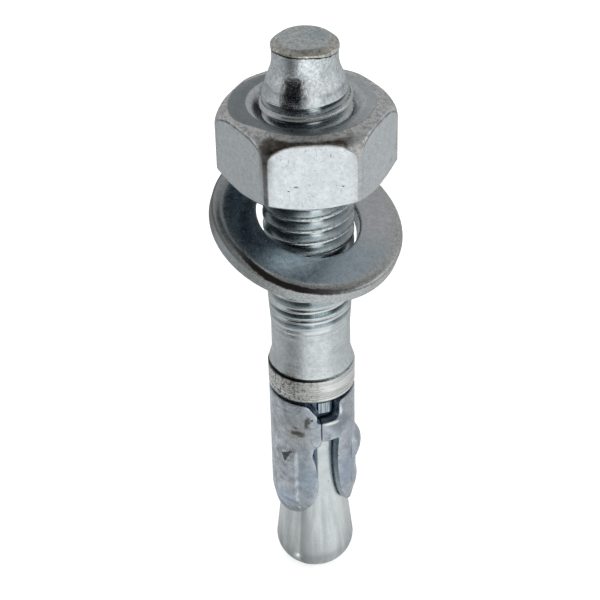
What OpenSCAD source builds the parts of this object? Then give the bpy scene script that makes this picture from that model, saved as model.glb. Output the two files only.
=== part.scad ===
// Wedge anchor: a cold-formed stud that stands on its cone end, with a sheet-steel
// expansion clip round its neck, a flat washer hanging askew on the thread and a hex nut.
// The front of the anchor faces -Y. Angles named "turn" count from the front towards +X.

/* [Stud] */
// Length of the stud from its end face to its point
stud_len = 70; // [60:0.5:120]
// Outside diameter of the thread
thread_d = 10; // [9.2:0.05:10.6]
// Axial length over which the thread runs out into the shank
runout_len = 2.3; // [1:0.1:5]
// Diameter of the plain shank
shank_d = 8.95; // [8:0.05:9.1]
// Length of the plain shank
shank_len = 3.5; // [1:0.1:20]
// Diameter at the foot of the flare, above the groove
flare_d = 9.75; // [9.3:0.05:10]
// Height of the flare between shank and groove
flare_h = 1.6; // [0.8:0.1:4]
// Radius of the rolled groove that parts flare and collar
groove_r = 0.16; // [0.08:0.02:0.3]

/* [Point] */
// Diameter of the plain point
point_d = 7; // [5.5:0.1:8.4]
// Height of the plain point, rim included
point_h = 2.8; // [1.5:0.1:6]
// Height of the tapered shoulder below the point
shoulder_h = 3; // [1.5:0.1:6]
// Diameter at the foot of the shoulder, where the thread starts
shoulder_d = 9.4; // [8.6:0.05:9.9]
// Radius of the fillet between point and shoulder
shoulder_fillet = 4; // [1:0.5:8]
// How far the rim stands out from the point, on each side
rim_out = 0.08; // [0.02:0.02:0.3]
// Height of the rim's upright edge
rim_edge_h = 0.4; // [0.1:0.05:1]
// Height of the bevel above the rim's edge
bevel_h = 0.65; // [0.2:0.05:1.2]
// Width of the bevel above the rim's edge
bevel_w = 0.85; // [0.3:0.05:2]

/* [Collar and lug] */
// Diameter of the collar
collar_d = 10; // [9.4:0.05:11]
// Height of the collar
collar_h = 3.1; // [1.5:0.1:6]
// Height of the lug that hangs below the collar and keeps the clip from turning
lug_h = 1.6; // [0.9:0.1:2.4]
// Angle that the lug takes up
lug_angle = 17; // [8:1:24]
// Angle left between the lug and the near side of the clip's notch
lug_side_gap = 1.2; // [0.5:0.1:5]

/* [Neck and cone] */
// Diameter of the neck that the clip rides on
neck_d = 7.4; // [6.4:0.05:7.8]
// Length of the neck
neck_len = 14.8; // [12.5:0.1:24]
// Length of the cone from the neck to its widest point
cone_len = 8.7; // [5:0.1:14]
// Largest diameter of the cone
cone_d = 9.3; // [8.8:0.05:10]
// Height of the cone's widest point above the end face
end_round_h = 2.8; // [1.5:0.1:3.2]
// Radius of the rounded lead-in at the end
end_round_r = 3.5; // [3.3:0.1:4.4]

/* [Expansion clip] */
// Thickness of the sheet
sheet_t = 1.2; // [0.8:0.05:1.5]
// Clearance between the clip's inside and the neck or cone
clip_play = 0.05; // [0.02:0.01:0.1]
// Gap between the collar and the clip's top edge
clip_gap = 0.45; // [0.3:0.05:1.2]
// Length of the clip from its top edge to the finger ends
clip_len = 16.85; // [14:0.1:22]
// Angle of the seam side's window centre, right of the front
clip_turn = 22.5; // [-180:0.5:180]
// Angle that each window takes up
window_angle = 33; // [20:1:50]
// Height of the closed band above the windows
band_h = 5.3; // [3.6:0.05:7]
// Depth of the notch in the top edge that takes the lug
notch_depth = 2.55; // [1.6:0.1:3]
// Width of the slanted corner beside the notch
notch_corner_w = 1.1; // [0.4:0.1:2]
// Height of the slanted corner beside the notch
notch_corner_h = 1.6; // [0.5:0.1:2]
// Angle between the notch's near side and the seam
seam_angle = 5; // [3:0.5:12]
// Width of the open seam
seam_gap = 0.12; // [0.05:0.01:0.4]
// How far the tongue beside the seam hangs into the window
tongue_drop = 0.45; // [0.1:0.05:1]
// Radius of the rounded finger corners
finger_corner_r = 4.4; // [3:0.1:5.5]
// Outside diameter at the finger ends
finger_end_d = 9; // [8.6:0.05:9.6]
// Height over which the fingers draw in to their ends
finger_taper_h = 2.5; // [1:0.1:5]

/* [Grip pads] */
// Angle between a window's centre and the middle of the pads beside it
pad_turn = 63; // [50:1:90]
// Angle that a pad takes up
pad_angle = 36; // [20:1:60]
// Radius of the pads' rounded crests
pad_crest_r = 2.5; // [0.5:0.1:2.7]
// Depth of the large pad's middle below the clip's top edge
big_pad_z = 8.85; // [7.5:0.1:10]
// Height of the large pad
big_pad_h = 5; // [3:0.1:6]
// How far the large pad stands proud
big_pad_out = 0.72; // [0.3:0.02:1]
// Depth of the small pad's middle below the clip's top edge
small_pad_z = 13.65; // [12.8:0.1:14]
// Height of the small pad
small_pad_h = 3.6; // [2:0.1:4]
// How far the small pad stands proud
small_pad_out = 0.22; // [0.1:0.02:0.6]

/* [Washer] */
// Outside diameter of the washer
washer_d = 21.5; // [18:0.5:30]
// Thickness of the washer
washer_t = 1.8; // [1.2:0.1:2.6]
// How much wider the washer's hole is than the thread
washer_slack = 1.6; // [0.9:0.1:2.4]
// Clearance left where the hanging washer catches on the thread
washer_play = 0.03; // [0.02:0.01:0.2]
// Width of the rolled edge on the washer's upper face
washer_roll = 1.4; // [0.4:0.1:2]
// How far the rolled edge has dropped at the rim
washer_fall = 0.45; // [0.1:0.05:0.7]
// Direction of the washer's low side, right of the front
washer_turn = 42; // [-180:1:180]
// Share of its slack by which the washer hangs off the stud's axis, square to its lean
washer_drift = 0.16; // [0:0.02:0.2]
// Gap between the nut and the washer's high side, taken to the corner before it was rolled
washer_gap = 1.6; // [0.4:0.1:8]

/* [Nut] */
// Width across the nut's flats
nut_af = 17; // [15:0.1:20]
// Height of the nut
nut_h = 8.4; // [5:0.1:11]
// How far the hexagon's corners are turned off
nut_corner_cut = 0.16; // [0.02:0.02:0.5]
// Diameter of the flat on the nut's upper face
nut_top_d = 14.6; // [13:0.1:15.5]
// Angle of the crown round that flat
nut_crown = 17; // [5:1:30]
// Radius that rounds the corners over into the crown
nut_shoulder_r = 2.3; // [0.5:0.1:4]
// Diameter of the flat on the nut's lower face
nut_bottom_d = 16.4; // [13:0.1:17]
// Angle of the chamfer round the lower face
nut_chamfer = 30; // [15:1:45]
// Radial clearance between the nut and the thread
nut_play = 0.05; // [0.02:0.01:0.1]
// Depth of the countersink at each end of the nut's bore
nut_sink = 0.9; // [0.2:0.05:1.2]
// Distance from the stud's point down to the nut's upper face
nut_from_tip = 7.3; // [6.2:0.1:30]
// Angle by which the nut's front flat is turned
nut_turn = 3; // [-30:1:30]

/* [Hidden] */
$fn = 96;

// Margin by which a cutting shape runs past what it cuts
cut = 0.5;
// Polar angle of the front
front = -90;
// Largest share that a crest's arc takes of the arc that would span its whole pad
crest_share = 0.8;

// Radii of the stud
thread_r = thread_d / 2;
shank_r = shank_d / 2;
flare_r = flare_d / 2;
point_r = point_d / 2;
shoulder_r = shoulder_d / 2;
collar_r = collar_d / 2;
neck_r = neck_d / 2;
cone_r = cone_d / 2;

// Levels of the stud, from the end face up
cone_top = end_round_h + cone_len;
collar_z = cone_top + neck_len;
collar_top = collar_z + collar_h;
flare_top = collar_top + flare_h;
shank_top = flare_top + shank_len;
thread_z = shank_top + runout_len;
point_z = stud_len - point_h;
thread_top = point_z - shoulder_h;
rim_z = stud_len - bevel_h - rim_edge_h;

// Arc of the flare: upright at its top, through flare_r at its foot
flare_out = flare_r - shank_r;
flare_arc_r = (flare_h * flare_h + flare_out * flare_out) / (2 * flare_out);

// Fillet between the upright point and the sloping shoulder
shoulder_slope = atan((shoulder_r - point_r) / shoulder_h);
fillet_leg = shoulder_fillet * tan(shoulder_slope / 2);

// Radii and levels of the clip
clip_in_r = neck_r + clip_play;
clip_r = clip_in_r + sheet_t;
clip_top = collar_z - clip_gap;
clip_end = clip_top - clip_len;
window_top = clip_top - band_h;
taper_top = clip_end + finger_taper_h;
notch_side = clip_turn - window_angle / 2;
seam_turn = notch_side + seam_angle;
lug_turn = notch_side + lug_side_gap;
window_half_w = (clip_in_r + clip_r) / 2 * sin(window_angle / 2);

// Centres of the arcs that round the finger corners and meet the finger ends
corner_x = window_half_w + finger_corner_r;
corner_past = max(0, corner_x - clip_r);
corner_z = clip_end + sqrt(finger_corner_r * finger_corner_r - corner_past * corner_past);

// The washer hangs askew until opposite edges of its hole catch on the thread
washer_hole_d = thread_d + washer_slack;
washer_roll_r = (washer_roll * washer_roll + washer_fall * washer_fall) / (2 * washer_fall);
washer_reach = sqrt(washer_hole_d * washer_hole_d + washer_t * washer_t);
washer_shift = washer_slack * washer_drift;
washer_room = washer_play + washer_shift * washer_shift / washer_slack;
washer_tilt = acos((thread_d + 2 * washer_room) / washer_reach) - atan(washer_t / washer_hole_d);
washer_rise = washer_d / 2 * sin(washer_tilt) + washer_t / 2 * cos(washer_tilt);

// Levels of the nut and the washer
nut_top = stud_len - nut_from_tip;
nut_z = nut_top - nut_h;
washer_z = nut_z - washer_gap - washer_rise;
nut_corner_r = nut_af / 2 / cos(30);
nut_turned_r = nut_corner_r - nut_corner_cut;
nut_bore_r = thread_r + nut_play;

// Solid ring sector between two radii, from one turn angle through a span
module sector(r_in, r_out, z, h, turn, span) {
    rotate_extrude(angle = span, start = front + turn)
        translate([r_in, z])
            square([r_out - r_in, h]);
}

// Shape drawn as seen from outside at a turn angle, driven through the wall on that side
module seen_from(turn) {
    rotate([0, 0, front + turn])
        rotate([90, 0, 90])
            translate([0, 0, -cut])
                linear_extrude(clip_r + big_pad_out + 2 * cut)
                    children();
}

// Half section of the rounded lead-in below the cone's widest point
module end_section() {
    square([cone_r - end_round_r, end_round_h]);
    intersection() {
        square([cone_r, end_round_h]);
        translate([cone_r - end_round_r, end_round_h])
            circle(end_round_r);
    }
}

// Half section of the cone and neck, grown outwards by a clearance
module neck_section(grow) {
    polygon([
        [0, end_round_h],
        [cone_r + grow, end_round_h],
        [neck_r + grow, cone_top],
        [neck_r + grow, collar_z],
        [0, collar_z],
    ]);
}

// Half section of collar, groove, flare and shank
module shank_section() {
    difference() {
        union() {
            translate([0, collar_z])
                square([collar_r, collar_h]);
            translate([0, collar_top])
                square([flare_r, flare_h]);
        }
        translate([flare_r, collar_top])
            circle(groove_r);
        translate([shank_r + flare_arc_r, flare_top])
            circle(flare_arc_r);
    }
    translate([0, flare_top])
        square([shank_r, shank_len]);
}

// Half section of the threaded length with its run-out, and of the shoulder
module thread_section() {
    polygon([
        [0, shank_top],
        [shank_r, shank_top],
        [thread_r, thread_z],
        [thread_r, thread_top - (thread_r - shoulder_r)],
        [shoulder_r, thread_top],
        [point_r, point_z],
        [0, point_z],
    ]);
    difference() {
        polygon([
            [point_r, point_z + fillet_leg],
            [point_r, point_z],
            [
                point_r + fillet_leg * sin(shoulder_slope),
                point_z - fillet_leg * cos(shoulder_slope)
            ],
        ]);
        translate([point_r + shoulder_fillet, point_z + fillet_leg])
            circle(shoulder_fillet);
    }
}

// Half section of the plain point with its bevelled rim
module point_section() {
    rim_r = point_r + rim_out;
    polygon([
        [0, point_z],
        [point_r, point_z],
        [point_r, rim_z - rim_out],
        [rim_r, rim_z],
        [rim_r, rim_z + rim_edge_h],
        [rim_r - bevel_w, stud_len],
        [0, stud_len],
    ]);
}

module stud() {
    color("lightsteelblue") {
        rotate_extrude() {
            end_section();
            neck_section(0);
            shank_section();
            thread_section();
            point_section();
        }
        sector(neck_r - cut, collar_r, collar_z - lug_h, lug_h + cut, lug_turn, lug_angle);
    }
}

// Half section of a pad on a wall of radius wall_r: two ramps that meet in a rounded crest
module pad_section(wall_r, z, h, out) {
    half_h = h / 2;
    crest_r = min(pad_crest_r, crest_share * (half_h * half_h + out * out) / (2 * out));
    centre = wall_r + out - crest_r;
    foot = norm([wall_r - centre, half_h]);
    meet = atan2(half_h, wall_r - centre) - acos(crest_r / foot);
    translate([0, z]) {
        polygon([
            [wall_r - cut, -half_h],
            [wall_r, -half_h],
            [centre + crest_r * cos(meet), -crest_r * sin(meet)],
            [centre + crest_r * cos(meet), crest_r * sin(meet)],
            [wall_r, half_h],
            [wall_r - cut, half_h],
        ]);
        intersection() {
            translate([wall_r - cut, -half_h])
                square([out + cut, h]);
            translate([centre, 0])
                circle(crest_r);
        }
    }
}

// The pads beside the seam's window, one on each finger
module pad_pair(wall_r, depth, h, out) {
    first = front + clip_turn - pad_angle / 2;
    for (side = [-1, 1])
        rotate_extrude(angle = pad_angle, start = first + side * pad_turn)
            pad_section(wall_r, clip_top - depth, h, out);
}

// Window between two fingers: upright sides, then a mouth that rounds the finger corners.
// A tongue of the band hangs into it over the first tongue_angle degrees
module window_cut(turn, tongue_angle) {
    side = turn - window_angle / 2;
    low_top = window_top - tongue_drop;
    sector(clip_in_r - cut, clip_r + cut, clip_end - cut, low_top - clip_end + cut, side, window_angle);
    sector(
        clip_in_r - cut, clip_r + cut,
        low_top - cut, tongue_drop + cut,
        side + tongue_angle, window_angle - tongue_angle
    );
    seen_from(turn)
        difference() {
            translate([-clip_r - cut, clip_end - cut])
                square([2 * (clip_r + cut), finger_corner_r + cut]);
            for (hand = [0, 1])
                mirror([hand, 0])
                    translate([corner_x, corner_z]) {
                        circle(finger_corner_r);
                        translate([0, -finger_corner_r])
                            square([clip_r, 2 * finger_corner_r]);
                    }
        }
}

// Notch in the top edge with one slanted corner, and the open seam below it
module notch_cut() {
    corner_fall = notch_corner_h / notch_corner_w;
    sector(
        clip_in_r - cut, clip_r + cut,
        clip_top - notch_depth, notch_depth + cut,
        notch_side, window_angle
    );
    seen_from(notch_side)
        polygon([
            [-notch_corner_w - cut, clip_top + cut * corner_fall],
            [cut, clip_top - notch_corner_h - cut * corner_fall],
            [cut, clip_top + cut * corner_fall],
        ]);
    seen_from(seam_turn)
        translate([-seam_gap / 2, window_top - tongue_drop - cut])
            square([seam_gap, band_h - notch_depth + tongue_drop + 2 * cut]);
}

module expansion_clip() {
    color("silver") {
        difference() {
            union() {
                rotate_extrude()
                    polygon([
                        [0, clip_end],
                        [finger_end_d / 2, clip_end],
                        [clip_r, taper_top],
                        [clip_r, clip_top],
                        [0, clip_top],
                    ]);
                pad_pair(clip_r, big_pad_z, big_pad_h, big_pad_out);
                pad_pair(clip_r, small_pad_z, small_pad_h, small_pad_out);
            }
            rotate_extrude()
                neck_section(clip_play);
            window_cut(clip_turn, seam_angle);
            window_cut(clip_turn + 180, 0);
            notch_cut();
        }
    }
}

// Half section of the flat washer, its upper rim rolled over by the punch
module washer_section() {
    hole_r = washer_hole_d / 2;
    rim_r = washer_d / 2;
    difference() {
        translate([hole_r, -washer_t / 2])
            square([rim_r - hole_r, washer_t]);
        difference() {
            translate([rim_r - washer_roll, washer_t / 2 - washer_roll_r])
                square([washer_roll + cut, washer_roll_r + cut]);
            translate([rim_r - washer_roll, washer_t / 2 - washer_roll_r])
                circle(washer_roll_r);
        }
    }
}

module washer() {
    color("lightslategray")
        translate([0, 0, washer_z])
            rotate([0, 0, front + washer_turn])
                translate([0, -washer_shift, 0])
                    rotate([0, washer_tilt, 0])
                        rotate_extrude()
                            washer_section();
}

// Half section of the nut as turned: crown and rounded shoulder above, plain chamfer below
module nut_turned_section() {
    past = nut_turned_r + cut;
    centre = nut_turned_r - nut_shoulder_r;
    intersection() {
        polygon([
            [0, 0],
            [nut_bottom_d / 2, 0],
            [past, (past - nut_bottom_d / 2) * tan(nut_chamfer)],
            [past, nut_h - (past - nut_top_d / 2) * tan(nut_crown)],
            [nut_top_d / 2, nut_h],
            [0, nut_h],
        ]);
        union() {
            square([nut_turned_r, nut_h - nut_shoulder_r]);
            square([centre, nut_h]);
            translate([centre, nut_h - nut_shoulder_r])
                circle(nut_shoulder_r);
        }
    }
}

// Half section of the bore with a countersink at each end
module nut_bore_section() {
    polygon([
        [0, -cut],
        [nut_bore_r + nut_sink + cut, -cut],
        [nut_bore_r, nut_sink],
        [nut_bore_r, nut_h - nut_sink],
        [nut_bore_r + nut_sink + cut, nut_h + cut],
        [0, nut_h + cut],
    ]);
}

module hex_nut() {
    color("gainsboro")
        translate([0, 0, nut_z])
            difference() {
                intersection() {
                    rotate([0, 0, nut_turn])
                        cylinder(r = nut_corner_r, h = nut_h, $fn = 6);
                    rotate_extrude()
                        nut_turned_section();
                }
                rotate_extrude()
                    nut_bore_section();
            }
}

stud();
expansion_clip();
washer();
hex_nut();
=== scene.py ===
import math

import bpy
import numpy as np
from mathutils import Euler, Matrix, Vector


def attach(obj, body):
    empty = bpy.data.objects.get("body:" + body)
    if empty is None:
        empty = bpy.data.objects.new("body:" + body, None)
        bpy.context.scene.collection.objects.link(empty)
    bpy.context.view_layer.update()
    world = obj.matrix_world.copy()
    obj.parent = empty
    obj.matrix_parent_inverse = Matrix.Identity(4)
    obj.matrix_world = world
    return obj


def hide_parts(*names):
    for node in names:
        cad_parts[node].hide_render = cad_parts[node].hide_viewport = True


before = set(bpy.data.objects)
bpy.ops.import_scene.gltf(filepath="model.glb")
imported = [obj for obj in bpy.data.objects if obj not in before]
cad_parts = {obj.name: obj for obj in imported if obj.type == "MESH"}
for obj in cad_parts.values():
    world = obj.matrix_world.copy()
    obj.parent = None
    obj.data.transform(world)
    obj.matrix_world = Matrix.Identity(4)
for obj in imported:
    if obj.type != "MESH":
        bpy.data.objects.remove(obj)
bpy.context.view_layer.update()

mm = 0.001
turnOfFront = -90  # polar angle of the front; turns count from it towards +X

print("frame loaded:", ", ".join(sorted(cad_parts)))


# small mesh helpers

def smooth(low, high, x):
    t = np.clip((np.asarray(x, float) - low) / (high - low), 0, 1)
    return t * t * (3 - 2 * t)


def arc(centre, radius, start, end, count):
    turns = np.radians(np.linspace(start, end, count))
    return [(centre[0] + radius * math.cos(t), centre[1] + radius * math.sin(t)) for t in turns]


def softCorners(corners, count=6):
    # each corner is (x, y, radius); a radius of 0 keeps the corner sharp
    path = []
    for i, (x, y, radius) in enumerate(corners):
        here = Vector((x, y))
        if radius <= 0 or i in (0, len(corners) - 1):
            path.append((x, y))
            continue
        back = Vector(corners[i - 1][:2]) - here
        ahead = Vector(corners[i + 1][:2]) - here
        half = back.angle(ahead) / 2
        leg = min(radius / math.tan(half), 0.49 * back.length, 0.49 * ahead.length)
        start = here + back.normalized() * leg
        end = here + ahead.normalized() * leg
        for k in range(count + 1):
            t = k / count
            p = start * (1 - t) ** 2 + here * 2 * t * (1 - t) + end * t ** 2
            path.append((p.x, p.y))
    return path


def denser(path, step):
    # adds points so that no stretch is longer than step
    out = [path[0]]
    for a, b in zip(path, path[1:]):
        parts = max(1, math.ceil(math.dist(a, b) / step))
        for k in range(1, parts + 1):
            t = k / parts
            out.append((a[0] + (b[0] - a[0]) * t, a[1] + (b[1] - a[1]) * t))
    return out


def onAxis(radius, turns, level):
    # points round the anchor's axis in metres, from millimetres and turns
    angle = np.radians(turns + turnOfFront)
    return np.stack([radius * np.cos(angle), radius * np.sin(angle), level], axis=-1) * mm


def addObject(name, data):
    made = bpy.data.objects.new(name, data)
    bpy.context.scene.collection.objects.link(made)
    return made


def newObject(name, verts, faces):
    mesh = bpy.data.meshes.new(name)
    mesh.from_pydata([tuple(v) for v in verts], [], faces)
    mesh.validate()
    mesh.update()
    return addObject(name, mesh)


def roundGrid(name, rows, capped):
    # rows: array of rings, (row, column, xyz) in metres; capped closes both ends with a fan
    count, around = rows.shape[:2]
    verts = list(rows.reshape(-1, 3))
    faces = []
    for i in range(count - 1 if capped else count):
        a, b = i * around, ((i + 1) % count) * around
        for j in range(around):
            k = (j + 1) % around
            faces.append((a + j, a + k, b + k, b + j))
    if capped:
        for row, flip in ((0, True), (count - 1, False)):
            centre = len(verts)
            verts.append(rows[row].mean(axis=0))
            for j in range(around):
                k = (j + 1) % around
                tri = (row * around + j, row * around + k, centre)
                faces.append(tri[::-1] if flip else tri)
    return newObject(name, verts, faces)


def outward(piece):
    # turns the faces out if the closed shell is inside out
    mesh = piece.data
    mesh.calc_loop_triangles()
    p = np.array([v.co for v in mesh.vertices])
    t = np.array([x.vertices for x in mesh.loop_triangles])
    volume = np.einsum("ij,ij->i", p[t[:, 0]], np.cross(p[t[:, 1]], p[t[:, 2]])).sum()
    if volume < 0:
        mesh.flip_normals()


def applied(piece):
    # swaps the piece's mesh for the one that its modifiers make, and removes them
    depsgraph = bpy.context.evaluated_depsgraph_get()
    made = bpy.data.meshes.new_from_object(piece.evaluated_get(depsgraph))
    piece.modifiers.clear()
    piece.data = made
    return made


def markPoints(mesh, name, values):
    # keeps a value at every point, for the materials to read
    mark = mesh.attributes.new(name, "FLOAT", "POINT")
    mark.data.foreach_set("value", np.asarray(values, np.float32).ravel())


def shadeSmooth(piece, sharpAbove):
    mesh = piece.data
    mesh.shade_smooth()
    mesh.set_sharp_from_angle(angle=math.radians(sharpAbove))


# node helpers: each adds to the tree that the sockets it is given belong to

def join(value, socket):
    if isinstance(value, bpy.types.NodeSocket):
        socket.id_data.links.new(value, socket)
    elif value is not None:
        socket.default_value = value


def addNode(kind, *values):
    tree = next(v.id_data for v in values if isinstance(v, bpy.types.NodeSocket))
    return tree.nodes.new(kind)


def calc(operation, *values, clamp=False):
    node = addNode("ShaderNodeMath", *values)
    node.operation = operation
    node.use_clamp = clamp
    for value, socket in zip(values, node.inputs):
        join(value, socket)
    return node.outputs[0]


def mul(total, *others):
    for value in others:
        total = calc("MULTIPLY", total, value)
    return total


def add(a, b):
    return calc("ADD", a, b)


def sub(a, b):
    return calc("SUBTRACT", a, b)


def mulAdd(a, b, c):
    return calc("MULTIPLY_ADD", a, b, c)


def unsigned(a):
    return calc("ABSOLUTE", a)


def most(a, b):
    return calc("MAXIMUM", a, b)


def vectorCalc(operation, a, b=None):
    node = addNode("ShaderNodeVectorMath", a)
    node.operation = operation
    join(a, node.inputs[0])
    join(b, node.inputs["Scale" if operation == "SCALE" else 1])
    return node.outputs["Value" if operation == "LENGTH" else "Vector"]


def splitVector(vector):
    node = addNode("ShaderNodeSeparateXYZ", vector)
    join(vector, node.inputs[0])
    return node.outputs


def blend(factor, a, b, mode="MIX"):
    node = addNode("ShaderNodeMix", factor, a, b)
    node.data_type = "RGBA"
    node.blend_type = mode
    for slot, value in ((0, factor), (6, a), (7, b)):
        join(value, node.inputs[slot])
    return node.outputs[2]


def coat(color, tint, *shares):
    # lays a tint over a colour, as strongly as the shares give when multiplied
    return blend(mul(*shares), color, tint)


def fit(value, low, high, outLow=0.0, outHigh=1.0, soft=True):
    node = addNode("ShaderNodeMapRange", value)
    node.interpolation_type = "SMOOTHSTEP" if soft else "LINEAR"
    for i, v in enumerate((value, low, high, outLow, outHigh)):
        join(v, node.inputs[i])
    return node.outputs[0]


def band(value, low, high, soft):
    # 1 between low and high, fading over soft on either side
    return mul(fit(value, low - soft, low + soft), fit(value, high + soft, high - soft))


def grain(vector, scale, detail=3.0, rough=0.5, distortion=0.0):
    node = addNode("ShaderNodeTexNoise", vector)
    given = {"Vector": vector, "Scale": scale, "Detail": detail, "Roughness": rough, "Distortion": distortion}
    for key, value in given.items():
        join(value, node.inputs[key])
    return node.outputs[0]


# rolled thread: cuts a right-hand helix into any lathe-like mesh about the Z axis

thread = {
    "pitch": 1.5,
    "major": 5.0,        # radius over the crests
    "depth": 0.85,       # crest to root, measured along the radius
    "crestFlat": 0.22,   # share of half a pitch that stays at the crest
    "rootFlat": 0.86,    # share of half a pitch where the root begins
    "phase": 0.2,        # where on a turn the crest crosses the front
    "play": 0.06,        # gap between the stud's thread and the nut's
    "lipDepth": 0.06,    # groove between the two lips of a crest that the roll didn't fill
    "lipWidth": 0.17,    # that groove's half width, as a share of half a pitch
    "lipEnds": 3.6,      # how many times deeper that groove is at the thread's ends
    "endLip": 0.36,      # that groove's half width at the ends
    "lowCrest": 0.62,    # crest flat at the low end, below the nut's reach, where the crest is broad
}


def threadTree():
    tree = bpy.data.node_groups.new("rolledThread", "GeometryNodeTree")
    sizes = ("Pitch", "Major Radius", "Depth", "Crest Flat", "Root Flat", "Phase", "Lip Depth", "Lip Width",
             "Lip Ends", "End Lip", "Low Crest", "Low Start", "Low Full", "High Full", "High End")
    kinds = [("Geometry", "Geometry")] + [(name, "Float") for name in sizes]
    for name, kind in kinds + [("Inside", "Bool"), ("Material", "Material")]:
        tree.interface.new_socket(name, in_out="INPUT", socket_type="NodeSocket" + kind)
    tree.interface.new_socket("Geometry", in_out="OUTPUT", socket_type="NodeSocketGeometry")
    given = tree.nodes.new("NodeGroupInput").outputs
    x, y, z = splitVector(tree.nodes.new("GeometryNodeInputPosition").outputs[0])
    radius = calc("SQRT", add(mul(x, x), mul(y, y)))
    turn = calc("DIVIDE", calc("ARCTAN2", y, x), 2 * math.pi)
    along = sub(calc("DIVIDE", z, given["Pitch"]), turn)
    step = calc("FRACT", add(along, given["Phase"]))
    # 0 in the middle of a crest, 1 in the middle of a root
    fromCrest = mul(unsigned(sub(step, 0.5)), 2.0)
    # towards its ends the crest is parted into two lips, where the roll ran on and off the blank
    fromLow = sub(z, given["Low Full"])
    upper = fit(sub(given["High Full"], z), 3.0 * mm, 0.5 * mm)
    lower = fit(fromLow, 4.0 * mm, -1.0 * mm)
    atEnds = most(upper, lower)
    crest = fit(lower, 0.0, 1.0, given["Crest Flat"], given["Low Crest"])
    lipWidth = fit(atEnds, 0.0, 1.0, given["Lip Width"], given["End Lip"])
    # the flanks are part straight, part rounded
    flank = fit(fromCrest, crest, given["Root Flat"], soft=False)
    rolled = fit(fromCrest, crest, given["Root Flat"])
    cut = add(mul(flank, 0.6), mul(rolled, 0.4))
    lip = mul(fit(fromCrest, lipWidth, 0.0), fit(atEnds, 0.0, 1.0, 1.0, given["Lip Ends"]))
    drop = add(mul(cut, given["Depth"]), mul(lip, given["Lip Depth"]))
    # at its low end the cut follows the blank, at its upper end the shoulder cuts the crests off
    wall = sub(given["Major Radius"], drop)
    isLow = fit(fromLow, 12.0 * mm, 8.0 * mm)
    followed = sub(calc("MINIMUM", radius, given["Major Radius"]), drop)
    cutOff = calc("MINIMUM", radius, wall)
    outside = add(cutOff, mul(isLow, sub(followed, cutOff)))
    choose = tree.nodes.new("GeometryNodeSwitch")
    choose.input_type = "FLOAT"
    join(given["Inside"], choose.inputs["Switch"])
    join(outside, choose.inputs["False"])
    join(most(radius, wall), choose.inputs["True"])
    fade = mul(fit(z, given["Low Start"], given["Low Full"]), fit(z, given["High End"], given["High Full"]))
    change = mul(fade, sub(choose.outputs[0], radius))
    grow = add(1.0, calc("DIVIDE", change, most(radius, 1e-6)))
    build = tree.nodes.new("ShaderNodeCombineXYZ")
    for value, socket in zip((mul(x, grow), mul(y, grow), z), build.inputs):
        join(value, socket)
    move = tree.nodes.new("GeometryNodeSetPosition")
    realize = tree.nodes.new("GeometryNodeRealizeInstances")
    paint = tree.nodes.new("GeometryNodeSetMaterial")
    join(given["Geometry"], move.inputs["Geometry"])
    join(build.outputs[0], move.inputs["Position"])
    join(move.outputs[0], realize.inputs[0])
    join(realize.outputs[0], paint.inputs["Geometry"])
    join(given["Material"], paint.inputs["Material"])
    join(paint.outputs[0], tree.nodes.new("NodeGroupOutput").inputs[0])
    return tree


threadNodes = threadTree()


def cutThread(piece, material, low, high, inside):
    # low and high: (level where the thread starts, level where it has its full depth), in mm
    modifier = piece.modifiers.new("thread", "NODES")
    modifier.node_group = threadNodes
    play = thread["play"] if inside else 0.0
    values = {
        "Pitch": thread["pitch"] * mm, "Major Radius": (thread["major"] + play) * mm,
        "Depth": thread["depth"] * mm, "Crest Flat": thread["crestFlat"],
        "Root Flat": thread["rootFlat"], "Phase": thread["phase"],
        "Lip Depth": 0.0 if inside else thread["lipDepth"] * mm, "Lip Width": thread["lipWidth"],
        "Lip Ends": thread["lipEnds"], "End Lip": thread["endLip"], "Low Crest": thread["lowCrest"],
        "Low Start": low[0] * mm, "Low Full": low[1] * mm,
        "High Full": high[1] * mm, "High End": high[0] * mm,
        "Inside": inside, "Material": material,
    }
    for socket in threadNodes.interface.items_tree:
        if socket.in_out == "INPUT" and socket.name in values:
            modifier[socket.identifier] = values[socket.name]
    applied(piece)


# shared finishes, as shader node groups

def newGroup(name, inputs, outputs):
    # inputs and outputs: socket names and what they carry
    tree = bpy.data.node_groups.new(name, "ShaderNodeTree")
    for way, sockets in (("INPUT", inputs), ("OUTPUT", outputs)):
        for key, kind in sockets.items():
            tree.interface.new_socket(key, in_out=way, socket_type="NodeSocket" + kind)
    return tree, tree.nodes.new("NodeGroupInput").outputs, tree.nodes.new("NodeGroupOutput").inputs


def zincGroup():
    # mottled zinc: soft clouds, fine crystals and a satin sheen that wanders
    tree, given, out = newGroup(
        "zincSkin",
        {"Vector": "Vector", "Pale": "Color", "Dull": "Color", "Cloud Scale": "Float", "Contrast": "Float",
         "Sheen Low": "Float", "Sheen High": "Float"},
        {"Color": "Color", "Roughness": "Float", "Height": "Float"})
    cloud = grain(given["Vector"], given["Cloud Scale"], 4.0, 0.6, 0.4)
    fine = grain(given["Vector"], 9.0, 3.0, 0.6)
    mixed = add(mul(cloud, 0.7), mul(fine, 0.3))
    spread = calc("DIVIDE", 0.5, most(given["Contrast"], 0.01))
    share = fit(mixed, sub(0.5, spread), add(0.5, spread))
    sheen = fit(grain(given["Vector"], 1.7, 3.0, 0.6), 0.3, 0.7, given["Sheen Low"], given["Sheen High"])
    join(blend(share, given["Dull"], given["Pale"]), out["Color"])
    join(sheen, out["Roughness"])
    join(mixed, out["Height"])
    return tree


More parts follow.
